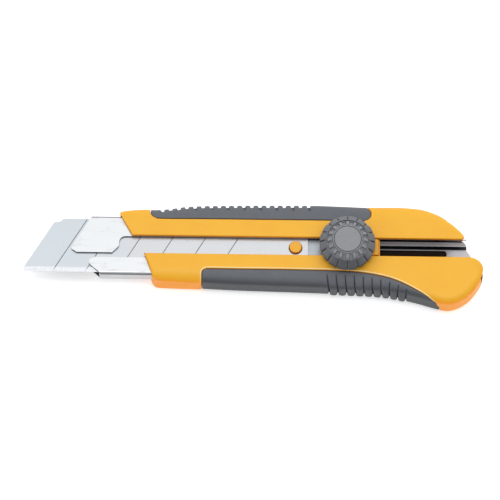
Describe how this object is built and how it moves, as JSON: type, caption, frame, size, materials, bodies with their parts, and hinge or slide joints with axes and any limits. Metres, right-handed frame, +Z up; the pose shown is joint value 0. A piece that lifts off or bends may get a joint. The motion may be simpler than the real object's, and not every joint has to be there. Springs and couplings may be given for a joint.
{
  "type": "utility knife",
  "caption": "Heavy-duty 25 mm snap-off blade utility knife with a steel blade channel, rubber grips and a knurled wheel lock on the slider.",
  "frame": {"origin": "middle of the bounding box, on the underside plane that the flat back rests on", "axes": "+X along the knife from blade tip to tail, +Y towards the spine, +Z up out of the slotted front face along the wheel's axis"},
  "size_m": [0.204, 0.0464, 0.0232],
  "materials": {
    "handle_yellow": "satin moulded",
    "grip_rubber": "matte",
    "channel_steel": "polished sheet",
    "blade_steel": "ground, bright bevel",
    "zinc_steel": "zinc plated",
    "nut_brass": "turned",
    "wheel_plastic": "satin moulded",
    "pin_yellow": "satin moulded"
  },
  "bodies": {
    "handle": {"handle_shell": "handle_yellow", "top_grip": "grip_rubber", "bottom_grip": "grip_rubber", "blade_channel": "channel_steel"},
    "slider": {"slider_carriage": "handle_yellow", "slider_plate": "channel_steel", "blade_pin": "pin_yellow", "blade": "blade_steel", "clamp_stud": "zinc_steel", "stud_clip": "zinc_steel"},
    "lock_washer_body": {"lock_washer": "zinc_steel", "click_spring": "zinc_steel"},
    "wheel": {"wheel_hub": "wheel_plastic", "wheel_grip": "grip_rubber", "wheel_cap": "wheel_plastic", "wheel_nut": "nut_brass", "ratchet_ring": "zinc_steel"}
  },
  "joints": [
    {"name": "slider_travel", "type": "slide", "parent": "handle", "child": "slider", "axis": [-1, 0, 0], "range_m": [-0.04, 0.075]},
    {"name": "wheel_lift", "type": "slide", "parent": "slider", "child": "lock_washer_body", "axis": [0, 0, 1], "range_m": [0, 0.001]},
    {"name": "wheel_turn", "type": "hinge", "parent": "lock_washer_body", "child": "wheel", "pos_m": [0.0414, 0.00268, 0.0133], "axis": [0, 0, 1], "range_deg": [0, 360]}
  ],
  "couplings": [
    {"joint": "wheel_turn", "follows": "wheel_lift", "rad_per_m": 6283}
  ]
}
